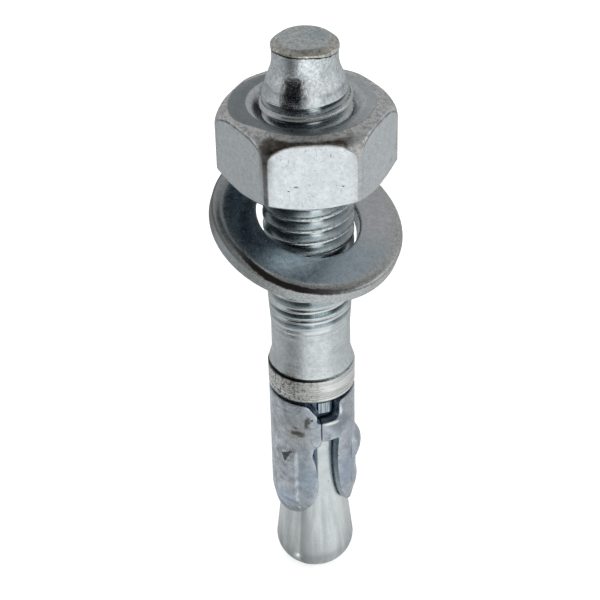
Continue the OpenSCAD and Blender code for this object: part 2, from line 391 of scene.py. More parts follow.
def speckGroup():
    # small dark pits and specks, thinned by a cloud so that they gather
    tree, given, out = newGroup(
        "darkSpecks", {"Vector": "Vector", "Scale": "Float", "Amount": "Float"}, {"Mask": "Float"})
    dots = tree.nodes.new("ShaderNodeTexVoronoi")
    join(given["Vector"], dots.inputs["Vector"])
    join(given["Scale"], dots.inputs["Scale"])
    near = fit(dots.outputs["Distance"], 0.28, 0.12)
    chosen = calc("LESS_THAN", dots.outputs["Color"], given["Amount"])
    gather = fit(grain(given["Vector"], 0.8, 2.0), 0.38, 0.6)
    join(mul(near, chosen, gather), out["Mask"])
    return tree


def lineGroup():
    # fine drawn or turned lines across one direction
    tree, given, out = newGroup(
        "drawnLines", {"Vector": "Vector", "Along": "Vector", "Scale": "Float"}, {"Height": "Float"})
    squash = vectorCalc("MULTIPLY", given["Vector"], given["Along"])
    join(grain(squash, given["Scale"], 4.0, 0.65), out["Height"])
    return tree


def patchGroup():
    # a soft-edged stain of a set size about a point, broken up by noise
    tree, given, out = newGroup(
        "patch",
        {"Vector": "Vector", "Centre": "Vector", "Reach": "Vector", "Ragged": "Float", "Edge": "Float"},
        {"Mask": "Float"})
    offset = vectorCalc("DIVIDE", vectorCalc("SUBTRACT", given["Vector"], given["Centre"]), given["Reach"])
    rough = mul(sub(grain(given["Vector"], 2.2, 4.0, 0.65), 0.5), given["Ragged"])
    far = add(vectorCalc("LENGTH", offset), rough)
    join(fit(far, 1.0, sub(1.0, given["Edge"])), out["Mask"])
    return tree


def mottleGroup():
    # fine uneven crystals that break up a plain colour
    tree, given, out = newGroup(
        "mottle", {"Vector": "Vector", "Color": "Color", "Scale": "Float", "Amount": "Float"},
        {"Color": "Color"})
    patchy = fit(grain(given["Vector"], given["Scale"], 3.0, 0.7), 0.36, 0.64)
    shade = blend(patchy, (0.72, 0.73, 0.75, 1), (1.24, 1.24, 1.24, 1))
    varied = blend(1.0, given["Color"], shade, "MULTIPLY")
    join(blend(given["Amount"], given["Color"], varied), out["Color"])
    return tree


def roundGroup():
    # where a point lies round the axis: radius, turn in degrees from the front towards +X, level
    tree, given, out = newGroup(
        "roundPlace", {"Vector": "Vector"}, {"Radius": "Float", "Turn": "Float", "Level": "Float"})
    x, y, z = splitVector(given["Vector"])
    join(calc("SQRT", add(mul(x, x), mul(y, y))), out["Radius"])
    join(calc("DEGREES", calc("ARCTAN2", x, mul(y, -1.0))), out["Turn"])
    join(z, out["Level"])
    return tree


groups = {
    "zincSkin": zincGroup(), "darkSpecks": speckGroup(), "drawnLines": lineGroup(),
    "patch": patchGroup(), "mottle": mottleGroup(), "roundPlace": roundGroup(),
}


def place(name, **values):
    # puts a group in the material; gives its outputs, or the one that it has
    node = addNode("ShaderNodeGroup", *values.values())
    node.node_tree = groups[name]
    for key, value in values.items():
        join(value, node.inputs[key.replace("_", " ")])
    return node.outputs if len(node.outputs) > 1 else node.outputs[0]


def startMaterial(name):
    # a metal with its shader, and the object's own coordinates in millimetres
    material = bpy.data.materials.new(name)
    material.use_nodes = True
    nodes = material.node_tree.nodes
    shader = nodes["Principled BSDF"]
    shader.inputs["Metallic"].default_value = 1.0
    here = nodes.new("ShaderNodeTexCoord").outputs["Object"]
    return material, shader, vectorCalc("SCALE", here, 1 / mm)


def attribute(material, name):
    node = material.node_tree.nodes.new("ShaderNodeAttribute")
    node.attribute_name = name
    return node.outputs["Fac"]


def finish(shader, color, rough, *layers):
    # layers of relief: (height, strength, depth in mm), stacked from the bottom up
    join(color, shader.inputs["Base Color"])
    join(rough, shader.inputs["Roughness"])
    normal = None
    for height, strength, depth in layers:
        bump = shader.id_data.nodes.new("ShaderNodeBump")
        values = {"Strength": strength, "Distance": depth * mm, "Height": height, "Normal": normal}
        for key, value in values.items():
            join(value, bump.inputs[key])
        normal = bump.outputs[0]
    join(normal, shader.inputs["Normal"])


def leftward(turn, right, left):
    # 0 at the right, 1 at the left, and an even half all round the back
    ahead = fit(unsigned(turn), 165.0, 110.0)
    return mulAdd(sub(fit(turn, right, left), 0.5), ahead, 0.5)


def onWall(radius, turn, level):
    # point on an upright cylinder, in millimetres
    angle = math.radians(turn + turnOfFront)
    return (radius * math.cos(angle), radius * math.sin(angle), level)


def gray(value, warm=0.0):
    # linear grey, a little warm above 0 and a little blue below it
    return (value * (1 + warm), value, value * (1 - warm), 1.0)


# camera, at the photo's angle: long lens from the front, looking down

cameraSetup = {
    "lens": 108.0,
    "sensor": 36.0,
    "place": (-1.14, -165.98, 153.13),  # mm
    "down": 34.9,
    "roll": -1.44,
    "clip": (0.005, 50.0),  # metres
}


def makeCamera(s):
    data = bpy.data.cameras.new("camera")
    data.lens = s["lens"]
    data.sensor_width = s["sensor"]
    data.clip_start, data.clip_end = s["clip"]
    camera = addObject("camera", data)
    tilt = Euler((math.radians(90 - s["down"]), 0, 0)).to_matrix()
    turn = Matrix.Rotation(math.radians(s["roll"]), 3, "Z")
    camera.matrix_world = Matrix.Translation(Vector(s["place"]) * mm) @ (tilt @ turn).to_4x4()
    bpy.context.scene.camera = camera


makeCamera(cameraSetup)
print("camera set")


# stud

studSetup = {
    "length": 70.0,
    "endRound": 3.5, "endRoundHeight": 2.8, "coneRadius": 4.65,
    "coneTop": 11.5, "neckRadius": 3.7,
    "collarLow": 26.3, "collarTop": 29.4, "collarRadius": 5.0,
    "flareRadius": 4.875, "flareTop": 31.0,
    "shankRadius": 4.475, "shankTop": 34.5,
    "threadLow": 36.8, "threadFull": 43.0, "threadHigh": 64.0,
    "shoulderRadius": 4.71, "pointLow": 67.2, "pointRadius": 3.5,
    "rimRadius": 3.58, "rimLow": 68.95, "rimHigh": 69.35, "flatRadius": 2.72,
    "rimWaver": 0.05, "rimLift": 0.5, "liftTurn": -20.0, "liftWide": 62.0,
    "lugLow": 24.7, "lugStart": 7.2, "lugEnd": 24.2,
    "around": 160, "step": 0.5, "sharpAbove": 58.0,
    # rows from crest to root, as shares of half a pitch
    "rowShares": (0.0, 0.12, 0.22, 0.34, 0.46, 0.6, 0.72, 0.86, 1.0),
    "pale": (0.83, 0.87, 0.88, 1), "dull": (0.60, 0.64, 0.65, 1),
    "root": (0.20, 0.26, 0.30, 1), "deepShade": (0.04, 0.05, 0.06, 1), "leftRootShade": (0.05, 0.08, 0.10, 1),
    "rootGlint": (0.92, 0.98, 1.0, 1), "scuffAndShade": (0.24, 0.21, 0.19, 1), "threadSide": (0.12, 0.16, 0.19, 1),
    "tarnish": (0.46, 0.48, 0.46, 1),
    "collarPale": (0.97, 0.98, 0.97, 1), "collarDull": (0.52, 0.52, 0.50, 1),
    "collarFront": (0.36, 0.35, 0.33, 1), "dirt": (0.09, 0.08, 0.07, 1),
    "grooveShade": (0.04, 0.038, 0.034, 1), "conePale": (0.88, 0.91, 0.90, 1),
    "coneDull": (0.60, 0.63, 0.63, 1),
    "coneStripe": (0.36, 0.39, 0.39, 1), "coneFaint": (0.44, 0.48, 0.49, 1),
    "flatPale": (0.76, 0.80, 0.79, 1), "flatDull": (0.60, 0.65, 0.65, 1), "flatBlue": (0.48, 0.57, 0.62, 1),
    "bevelPale": (0.74, 0.73, 0.67, 1), "bevelDark": (0.42, 0.40, 0.35, 1),
    "rimShade": (0.035, 0.03, 0.027, 1), "darkReflection": (0.10, 0.11, 0.13, 1), "neckShade": (0.16, 0.21, 0.27, 1),
    "lugPale": (0.62, 0.66, 0.69, 1), "lugDull": (0.24, 0.29, 0.33, 1),
}


def studProfile(s):
    start = s["coneRadius"] - s["endRound"]
    endTurn = math.degrees(math.asin(s["endRoundHeight"] / s["endRound"]))
    flatEdge = start + s["endRound"] * math.cos(math.radians(endTurn))
    low = softCorners([(0.0, 0.0, 0), (flatEdge - 0.02, 0.0, 0.0)])
    low += arc((start, s["endRoundHeight"]), s["endRound"], -endTurn, 0, 14)
    middle = softCorners([
        (s["coneRadius"], s["endRoundHeight"], 0),
        (s["neckRadius"], s["coneTop"], 6.0),
        (s["neckRadius"], s["collarLow"], 0.25),
        (s["collarRadius"] - 0.02, s["collarLow"], 0.4),
        (s["collarRadius"], s["collarTop"] - 0.02, 0.18),
        (s["collarRadius"] - 0.42, s["collarTop"] + 0.06, 0.1),
        (s["flareRadius"], s["collarTop"] + 0.26, 0.12),
        (s["shankRadius"] + 0.03, s["flareTop"], 2.0),
        (s["shankRadius"], s["shankTop"], 1.0),
        (s["shankRadius"] + 0.16, s["threadLow"], 1.5),
        (thread["major"], s["threadFull"], 3.0),
        (thread["major"], s["threadHigh"] - 0.2, 0.1),
        (s["shoulderRadius"], s["threadHigh"], 0.1),
        (s["pointRadius"], s["pointLow"], 4.0),
        (s["pointRadius"], s["rimLow"] - 0.1, 0.08),
        (s["rimRadius"], s["rimLow"], 0.08),
        (s["rimRadius"], s["rimHigh"], 0.25),
        (s["flatRadius"] + 0.1, s["length"], 0.3),
        (0.0, s["length"], 0),
    ])
    return low[:-1] + middle


def refined(path, s):
    # rows close together round the lug, wider elsewhere
    out = [path[0]]
    for a, b in zip(path, path[1:]):
        lugZone = s["lugLow"] - 0.6
        nearLug = lugZone < max(a[1], b[1]) and min(a[1], b[1]) < s["collarLow"]
        if nearLug and abs(b[1] - a[1]) > 2:
            split = (a[0], lugZone)
            out += denser([a, split], s["step"])[1:] + denser([split, b], 0.1)[1:]
            continue
        out += denser([a, b], s["step"])[1:]
    return out


def helixRows(path, turns, s):
    # radius and level of every row and column; in the thread the rows climb with the helix
    low, high = s["shankTop"] + 0.1, s["threadHigh"] + 1.6
    first = next(i for i, p in enumerate(path) if p[1] > low)
    last = next(i for i, p in enumerate(path) if p[1] > high)
    steps = sorted({0.5 + side * share / 2 for share in s["rowShares"] for side in (-1, 1)} - {0.0})
    offset = turnOfFront / 360 - thread["phase"]
    levels = [thread["pitch"] * (k + step + offset) for k in range(60) for step in steps]
    levels = np.array([z for z in levels if low < z < high])
    zone = np.concatenate([np.zeros(first), np.ones(len(levels)), np.zeros(len(path) - last)])[:, None] > 0
    level = np.concatenate([path[:first, 1], levels, path[last:, 1]])[:, None]
    plain = np.concatenate([path[:first, 0], levels * 0, path[last:, 0]])[:, None]
    # the rows fall back by one pitch within a few degrees at the back
    turned = (turns + 180) % 360 - 180
    climb = turned / 360 - np.sign(turned) * 0.5 * smooth(170, 180, np.abs(turned))
    reach = smooth(low - 0.05, low + 1.6, level) * (1 - smooth(high - 1.6, high + 0.05, level))
    z = level + reach * thread["pitch"] * climb[None, :]
    cut = slice(first - 2, last + 2)
    r = np.where(zone, np.interp(z, path[cut, 1], path[cut, 0]), plain)
    return r, z


def makeStud(s, material):
    path = np.array(refined(studProfile(s), s)[1:-1])
    turns = set(np.linspace(0, 360, s["around"], endpoint=False).round(4))
    for edge in (s["lugStart"], s["lugEnd"]):
        turns |= {edge - 0.5, edge, edge + 0.5}
    turns |= set(np.arange(170.5, 190, 1.0))  # at the back, where the rows fall back
    turns = np.array(sorted(turns))
    r, z = helixRows(path, turns, s)
    radius, level = r.mean(axis=1), z.mean(axis=1)
    # the lug hangs below the collar, flush with it
    inLug = smooth(s["lugStart"] - 0.6, s["lugStart"] + 0.6, turns)
    inLug *= 1 - smooth(s["lugEnd"] - 0.6, s["lugEnd"] + 0.6, turns)
    rise = smooth(s["lugLow"] - 0.12, s["lugLow"] + 0.12, level) * (level <= s["collarLow"])
    r += np.maximum(s["collarRadius"] - 0.06 - r, 0) * rise[:, None] * inLug
    # the point's rim was sheared and hammered, so it wavers
    low = s["rimLow"]
    wave = 0.5 * np.sin(np.radians(turns * 3 + 40)) + 0.3 * np.sin(np.radians(turns * 7 + 10))
    atRim = smooth(low - 0.2, low + 0.1, level) * (radius > s["flatRadius"])
    underRim = smooth(low - 0.5, low, level) * (level < s["rimHigh"])
    z += s["rimWaver"] * wave * underRim[:, None]
    # and its lower edge climbs at the front
    fromLift = (turns - s["liftTurn"] + 180) % 360 - 180
    climb = np.exp(-(fromLift / s["liftWide"]) ** 2)
    lifted = smooth(low - 0.7, low - 0.05, level) * (1 - smooth(low, s["length"], level))
    z += s["rimLift"] * climb * lifted[:, None]
    r += 0.3 * s["rimWaver"] * wave[::-1] * atRim[:, None]
    piece = roundGrid("stud_body", onAxis(r, turns, z), True)
    outward(piece)
    high = s["threadHigh"]
    cutThread(piece, material, (s["shankTop"], s["threadLow"] + 1.5), (high + 1.1, high - 0.2), False)
    shadeSmooth(piece, s["sharpAbove"])
    return piece


def threadTone(s, color, here, radius, turn, level):
    # painted shade: the roots are darker and bluer than the crests, darkest at their bottoms, save where a
    # painted highlight brightens them to the right
    low, full, high = s["threadLow"] - 0.8, s["threadFull"], s["threadHigh"] + 1.2
    inThread = band(level, low, high, 0.5)
    fromCrest = sub(thread["major"], radius)
    root = mul(fit(fromCrest, 0.2, 0.75), inThread)
    deepShade = mul(fit(fromCrest, 0.64, 0.8), band(level, full - 2.0, high, 0.5))
    bright = mul(band(turn, 1.0, 32.0, 6.0), band(level, low, full - 0.5, 0.5))
    bright = most(bright, band(turn, 4.0, 19.0, 6.0))
    offGlint = mulAdd(bright, -0.9, 1.0)
    color = coat(color, s["root"], root, offGlint, 0.4)
    color = coat(color, s["deepShade"], deepShade, offGlint, 0.8)
    color = coat(color, s["rootGlint"], root, sub(1.0, offGlint), 0.8)
    # painted shade in the roots, to the left of that highlight
    color = coat(color, s["leftRootShade"], deepShade, band(turn, -30.0, -5.0, 7.0), 0.5)
    # crests scuffed brown here and there, and both sides in shade between the washer and the nut
    scuffed = mul(fit(fromCrest, 0.16, 0.05), fit(grain(here, 3.2, 3.0, 0.7), 0.46, 0.6))
    color = coat(color, s["scuffAndShade"], scuffed, inThread, 0.6)
    aside = most(band(turn, -85.0, -27.0, 16.0), mul(band(turn, 36.0, 85.0, 14.0), 0.5))
    return coat(color, s["threadSide"], aside, band(level, full, 56.0, 2.0), 0.7)


def collarTone(s, turn, rings, hammered):
    # scraped round and round, darker at the front as painted shade, and dirtier to the left
    worn = blend(fit(rings, 0.35, 0.62), s["collarDull"], s["collarPale"])
    worn = coat(worn, s["collarFront"], band(turn, -28.0, 12.0, 12.0), 0.46)
    return coat(worn, s["dirt"], band(turn, -110.0, -3.0, 37.0), fit(hammered, 0.47, 0.6), 0.85)


def coneTone(s, turn, bands):
    # satin, with soft bands down its length; a dark band to the left and a faint one to the right are painted
    # reflections
    satin = blend(fit(bands, 0.36, 0.64), s["coneDull"], s["conePale"])
    satin = coat(satin, s["coneStripe"], fit(turn, -26.0, -23.0), fit(turn, -10.0, -23.0), 0.7)
    return coat(satin, s["coneFaint"], fit(turn, 9.0, 13.0), fit(turn, 23.0, 13.0), 0.5)


def pointTone(s, here, radius, ragged, hammered):
    # the sheared end: dull bluish flat, tan bevel
    flat = blend(fit(ragged, 0.36, 0.64), s["flatDull"], s["flatPale"])
    bluish = place("patch", Vector=here, Centre=(1.3, 0.6, s["length"]), Reach=(1.4, 1.9, 0.8),
                   Ragged=0.8, Edge=0.7)
    flat = coat(flat, s["flatBlue"], bluish, 0.55)
    bevel = blend(fit(hammered, 0.46, 0.66), s["bevelPale"], s["bevelDark"])
    return blend(fit(add(radius, hammered), 3.25, 3.65), flat, bevel)


def studZinc(s):
    material, shader, here = startMaterial("studZinc")
    radius, turn, level = place("roundPlace", Vector=here)
    skin, sheen, height = place("zincSkin", Vector=here, Pale=s["pale"], Dull=s["dull"], Cloud_Scale=0.6,
                                Contrast=1.7, Sheen_Low=0.14, Sheen_High=0.3)
    rings = place("drawnLines", Vector=here, Along=(0.12, 0.12, 5.0), Scale=1.3)
    bands = place("drawnLines", Vector=here, Along=(0.5, 0.5, 0.03), Scale=1.1)
    specks = place("darkSpecks", Vector=here, Scale=2.4, Amount=0.25)
    ragged = grain(here, 1.3, 4.0, 0.65)
    hammered = grain(here, 2.6, 4.0, 0.7)
    color = coat(skin, gray(0.1), specks, 0.55)
    color = threadTone(s, color, here, radius, turn, level)
    # shank: satin, clouded and faintly tarnished
    onShank = band(level, s["collarTop"] + 0.4, s["shankTop"] + 1.1, 0.4)
    color = coat(color, s["tarnish"], onShank, fit(grain(here, 0.9, 5.0, 0.7, 0.6), 0.4, 0.66), 0.28)
    collar = band(level, s["collarLow"], s["collarTop"] - 0.02, 0.05)
    color = coat(color, collarTone(s, turn, rings, hammered), collar)
    cone = fit(level, s["coneTop"] + 1.5, s["coneTop"] - 2.5)
    color = coat(color, coneTone(s, turn, bands), cone, 0.85)
    rimFoot = mulAdd(band(turn, -75.0, 35.0, 32.0), s["rimLift"] * 0.96, s["rimLow"])
    top = fit(sub(level, rimFoot), -0.04, 0.02)
    color = coat(color, pointTone(s, here, radius, ragged, hammered), top)
    # a painted dark reflection on the shoulder to the front left; the roll left fine lines where it ran off,
    # painted dark as the shade in their grooves
    high = s["threadHigh"]
    flecks = fit(grain(here, 3.1, 3.0, 0.7), 0.36, 0.54)
    darkReflection = mul(band(turn, -30.0, -6.0, 4.0), band(level, high + 0.8, high + 2.6, 0.25))
    color = coat(color, s["darkReflection"], darkReflection, flecks, 0.6)
    linesPerPitch = 5
    climb = mulAdd(turn, -linesPerPitch / 360, calc("DIVIDE", level, thread["pitch"] / linesPerPitch))
    fromLine = unsigned(sub(calc("FRACT", climb), 0.5))
    lines = mul(fit(fromLine, 0.2, 0.08), band(level, high - 1.3, high + 0.3, 0.25))
    color = coat(color, s["deepShade"], lines, flecks, 0.7)
    crystals = most(mul(fit(level, high - 0.2, high + 0.6), 0.75), mul(onShank, 0.3))
    color = place("mottle", Vector=here, Color=color, Scale=3.0, Amount=crystals)
    # painted shade under the point's rim and in the groove above the collar, more to the left
    lineWidth = mulAdd(hammered, 0.5, mulAdd(leftward(turn, 30.0, -60.0), 0.1, -0.08))
    lineFoot = sub(rimFoot, lineWidth)
    underRim = mul(fit(sub(rimFoot, level), -0.03, 0.01), fit(sub(level, lineFoot), -0.03, 0.07))
    color = coat(color, s["rimShade"], underRim, 0.95)
    grooveWidth = mulAdd(ragged, 0.26, mulAdd(leftward(turn, 40.0, -50.0), 0.17, -0.03))
    groove = calc("LESS_THAN", unsigned(sub(level, s["collarTop"] + 0.12)), grooveWidth)
    color = coat(color, s["grooveShade"], groove, mulAdd(leftward(turn, 35.0, -25.0), 0.6, 0.3))
    # the neck is in shade inside the clip, under its band and behind the left finger's edge
    inside = fit(radius, s["collarRadius"] - 0.1, s["collarRadius"] - 0.4)
    inNotch = mul(band(level, 20.1, s["collarLow"] + 0.02, 0.12), inside)
    behind = mul(fit(turn, 8.5, 5.5), band(level, 12.6, 20.4, 0.4), inside)
    color = coat(color, s["neckShade"], most(inNotch, behind))
    onLug = mul(band(level, s["lugLow"] - 0.1, s["collarLow"], 0.04), sub(1.0, inside))
    drawn = place("drawnLines", Vector=here, Along=(5.0, 0.4, 0.15), Scale=1.0)
    color = coat(color, blend(fit(drawn, 0.4, 0.6), s["lugDull"], s["lugPale"]), onLug)
    # duller where it was sheared or left satin, shinier on the shoulder
    rough = sheen
    for share, more in ((top, 0.22), (cone, 0.1), (onShank, 0.12),
                        (band(level, high + 0.6, s["rimLow"] - 0.35, 0.5), -0.08)):
        rough = mulAdd(share, more, rough)
    onPoint = most(fit(level, high - 0.5, high + 1.0), mul(onShank, 0.8))
    finish(shader, color, rough, (height, 0.3, 0.1),
           (mul(rings, add(collar, 0.15)), 0.6, 0.12),
           (mul(hammered, most(onPoint, collar)), 0.3, 0.13))
    return material


# hex nut

nutSetup = {
    "acrossFlats": 17.0, "height": 8.4, "low": 54.3, "turn": 3.0,
    "cornerCut": 0.16, "topFlat": 7.3, "crown": 17.0, "shoulder": 2.3,
    "bottomFlat": 8.2, "chamfer": 30.0, "edge": 0.12,
    "sinkRadius": 5.8, "boreRadius": 4.2, "mouth": 6.4, "mouthFall": 0.2,
    "perSide": 44, "perCorner": 10, "boreStep": 0.11, "cornerEase": 0.035, "sharpAbove": 26.0,
    # dents: place along the front face and level in mm, reach along the face and up it
    "dents": ((-1.75, 57.35, 0.3, 0.12), (3.1, 57.2, 0.22, 0.09), (-2.5, 56.9, 0.18, 0.08),
              (1.9, 60.9, 0.05, 0.22)),
    "pale": (0.82, 0.85, 0.88, 1), "dull": (0.65, 0.68, 0.70, 1), "dent": (0.2, 0.18, 0.15, 1),
    "slateTopShade": (0.20, 0.24, 0.25, 1), "crownPale": (0.84, 0.86, 0.86, 1), "crownDull": (0.42, 0.41, 0.39, 1),
    "crownBlotch": (0.26, 0.23, 0.2, 1), "crownLine": (0.17, 0.12, 0.08, 1),
    "frontBandDark": (0.025, 0.02, 0.018, 1), "frontBandBrown": (0.12, 0.09, 0.068, 1),
    "arris": (0.10, 0.08, 0.06, 1), "mouthShade": (0.03, 0.03, 0.03, 1),
    "cornerWear": (0.36, 0.33, 0.29, 1), "leftCorner": (0.09, 0.075, 0.06, 1),
}


def turnedRadius(s):
    # radius to which the hexagon's corners are turned off
    return s["acrossFlats"] / 2 / math.cos(math.radians(30)) - s["cornerCut"]


def hexRadius(s, turns):
    # polar radius of the hexagon with its corners turned off, a flat facing turn 0
    off = np.radians((np.asarray(turns) + 30) % 60 - 30)
    turned = turnedRadius(s)
    hexagon = s["acrossFlats"] / 2 / np.cos(off)
    # the two blend over a little, so the turned corner has no hard edges
    soft = s["cornerEase"]
    share = np.clip(0.5 + (hexagon - turned) / (2 * soft), 0, 1)
    return hexagon + (turned - hexagon) * share - soft * share * (1 - share)


def crownDrop(s, radius):
    # how far below the top face the turned crown and shoulder lie at a radius
    past = np.clip(radius - (turnedRadius(s) - s["shoulder"]), 0, s["shoulder"])
    dome = s["shoulder"] - np.sqrt(s["shoulder"] ** 2 - past ** 2)
    return np.maximum((radius - s["topFlat"]) * math.tan(math.radians(s["crown"])), dome)


def makeNut(s, material):
    turns = []
    for side in range(6):
        flats = np.linspace(-26.5, 26.5, s["perSide"])
        corners = np.linspace(27.1, 32.9, s["perCorner"])
        turns += list(side * 60 + flats) + list(side * 60 + corners)
    turns = np.array(turns)
    rim = hexRadius(s, turns)
    edge = s["edge"]
    slope = math.tan(math.radians(s["chamfer"]))
    topEdge = s["height"] - crownDrop(s, rim - 0.01)
    lowEdge = (rim - s["bottomFlat"]) * slope
    rows = []

    def addRow(radius, level):
        rows.append((np.broadcast_to(radius, turns.shape), np.broadcast_to(level, turns.shape)))

    sinkDepth = s["sinkRadius"] - s["boreRadius"]
    levels = np.arange(0.0, s["height"] + 0.001, s["boreStep"])
    for share in (1.0, 0.7, 0.35):  # the bore's mouth is rolled over
        radius = s["sinkRadius"] + (s["mouth"] - s["sinkRadius"]) * share
        addRow(radius, s["height"] - s["mouthFall"] * (1 - share) ** 1.4)
    for level in levels[::-1]:  # down the bore from the top
        flare = max(0.0, sinkDepth - level, sinkDepth - (s["height"] - level))
        fall = s["mouthFall"] * smooth(s["height"] - 1.5, s["height"], level)
        addRow(s["boreRadius"] + flare, level - fall)
    # the bottom face, its chamfer, the flats, the shoulder and crown, and the top face
    for share in (0.06, 0.3, 0.6, 0.94):
        addRow(s["sinkRadius"] + (s["bottomFlat"] - s["sinkRadius"]) * share, 0.0)
    addRow(s["bottomFlat"] + edge, edge * 0.25)
    for share in (0.3, 0.7):
        radius = s["bottomFlat"] + (rim - s["bottomFlat"]) * share
        addRow(radius, np.maximum((radius - s["bottomFlat"]) * slope, edge * 0.25))
    addRow(rim - edge * 0.8, np.maximum(lowEdge - edge * 0.3, edge * 0.3))
    addRow(rim, lowEdge + edge)
    for share in (0.04, 0.2, 0.4, 0.6, 0.8, 0.96):
        addRow(rim, lowEdge + edge + (topEdge - lowEdge - 2 * edge) * share)
    for share in (1.0, 0.985, 0.965, 0.94, 0.9, 0.84, 0.76, 0.66, 0.54, 0.4, 0.25, 0.1):
        radius = s["topFlat"] + (rim - s["topFlat"]) * share
        ease = edge * 0.8 * smooth(0.93, 1.0, share)
        addRow(radius, s["height"] - crownDrop(s, radius - 0.01) - ease)
    for share in (1.0, 0.94, 0.6, 0.3, 0.06):
        addRow(s["mouth"] + (s["topFlat"] - s["mouth"]) * share, s["height"] - 0.02 * (share == 1.0))
    r = np.array([a for a, b in rows])
    z = np.array([b for a, b in rows]) + s["low"]
    piece = roundGrid("nut_body", onAxis(r, turns + s["turn"], z), False)
    onCrown = (r > s["topFlat"] + 0.02) & (z > s["low"] + s["height"] - crownDrop(s, r) - 0.25)
    nearCorner = smooth(23, 29, np.abs((turns + 30) % 60 - 30))[None, :] * (r > s["bottomFlat"])
    markPoints(piece.data, "crown", onCrown)
    markPoints(piece.data, "corner", nearCorner)
    outward(piece)
    top = s["low"] + s["height"]
    cutThread(piece, material, (s["low"] - 2, s["low"] - 1), (top + 2, top + 1), True)
    shadeSmooth(piece, s["sharpAbove"])
    return piece


def nutDents(s, here):
    # dents in the front face
    dents = 0.0
    turned = math.radians(s["turn"])
    flat = s["acrossFlats"] / 2
    for along, up, wide, high in s["dents"]:
        x = along * math.cos(turned) + flat * math.sin(turned)
        y = along * math.sin(turned) - flat * math.cos(turned)
        dent = place("patch", Vector=here, Centre=(x, y, up), Reach=(wide, wide, high), Ragged=0.9, Edge=0.8)
        dents = most(dents, dent)
    return dents


def nutZinc(s):
    material, shader, here = startMaterial("nutZinc")
    radius, turn, level = place("roundPlace", Vector=here)
    onCrown = attribute(material, "crown")
    corner = attribute(material, "corner")
    skin, sheen, height = place("zincSkin", Vector=here, Pale=s["pale"], Dull=s["dull"], Cloud_Scale=0.9,
                                Contrast=1.6, Sheen_Low=0.24, Sheen_High=0.4)
    specks = place("darkSpecks", Vector=here, Scale=3.4, Amount=0.35)
    ragged = grain(here, 1.1, 4.0, 0.65)
    color = coat(skin, gray(0.2, 0.1), specks, 0.55)
    color = coat(color, gray(0.32, 0.06), fit(grain(here, 5.0, 2.0, 0.6), 0.62, 0.74), 0.5)
    # hairlines left by handling
    path = grain(here, 0.7, 1.0, 0.4, 1.2)
    hair = mul(fit(unsigned(sub(path, 0.5)), 0.012, 0.003), fit(grain(here, 0.9, 2.0), 0.42, 0.55))
    color = coat(color, gray(0.2, 0.1), hair, 0.5)
    # top face: painted shade, slate to the left and the front, paler to the right; to the left it runs out
    # over the crown
    top = s["low"] + s["height"]
    fromRight = unsigned(calc("WRAP", sub(turn, 100.0), 180.0, -180.0))
    edge = mulAdd(band(turn, -140.0, -55.0, 20.0), 0.85, s["topFlat"] + 0.05)
    topShare = fit(sub(radius, edge), 0.12, -0.05)
    onTop = mul(fit(level, top - 0.6, top - 0.4), topShare, fit(radius, s["mouth"] - 0.15, s["mouth"]))
    color = coat(color, s["slateTopShade"], onTop, mulAdd(fit(fromRight, 25.0, 100.0), 0.6, 0.2))
    # crown worn and speckled, with a brown line round it and a dark band above the front flat
    crown = mul(onCrown, sub(1.0, topShare))
    worn = fit(grain(here, 3.2, 5.0, 0.75), 0.36, 0.5)
    tan = blend(worn, s["crownDull"], s["crownPale"])
    tan = coat(tan, s["crownBlotch"], fit(grain(here, 1.7, 4.0, 0.75), 0.5, 0.6), 0.6)
    color = coat(color, tan, crown, 0.75)
    line = band(mulAdd(ragged, 0.3, radius), s["topFlat"] + 0.2, s["topFlat"] + 0.26, 0.05)
    color = coat(color, s["crownLine"], line, band(turn, -30.0, 95.0, 20.0), worn, 0.6)
    swayed = mulAdd(ragged, 24.0, sub(turn, 12.0))
    frontBandEdge = fit(mulAdd(ragged, 0.6, radius), s["topFlat"] + 1.0, s["topFlat"] + 1.45)
    frontBand = mul(band(swayed, -27.0, 28.0, 6.0), frontBandEdge)
    color = coat(color, blend(worn, s["frontBandDark"], s["frontBandBrown"]), frontBand, crown, 0.94)
    # a thin dark line where the crown meets the flats, but not the front one
    between = mul(onCrown, sub(1.0, onCrown), 4.0)
    arris = mul(fit(between, 0.1, 0.6), sub(1.0, band(turn, -20.0, 26.0, 3.0)))
    outside = fit(radius, s["topFlat"] + 0.7, s["topFlat"] + 1.0)
    arris = calc("MULTIPLY", arris, sub(outside, corner), clamp=True)
    color = coat(color, s["arris"], arris, fit(ragged, 0.3, 0.6, 0.3, 1.0), 0.75)
    # the bore's mouth is in shade to the left, beside the thread
    inMouth = mul(fit(radius, s["sinkRadius"] - 0.05, s["sinkRadius"] - 0.4), band(turn, -105.0, -30.0, 14.0))
    color = coat(color, s["mouthShade"], inMouth, 0.9)
    # corners worn, the front left one dark near its top
    color = coat(color, s["cornerWear"], corner, worn, 0.3)
    leftCorner = mul(band(turn, -33.0, -22.0, 3.0), fit(level, s["low"] + 2.7, s["low"] + 6.7))
    color = coat(color, s["leftCorner"], leftCorner, corner, 0.6)
    dents = nutDents(s, here)
    color = coat(color, s["dent"], dents, 0.7)
    color = place("mottle", Vector=here, Color=color, Scale=2.0, Amount=0.22)
    finish(shader, color, mulAdd(crown, 0.08, sheen), (height, 0.2, 0.1),
           (grain(here, 6.0, 4.0, 0.7), 0.14, 0.06), (sub(1.0, dents), 0.5, 0.1))
    return material


# washer, hanging askew until opposite edges of its hole catch on the thread

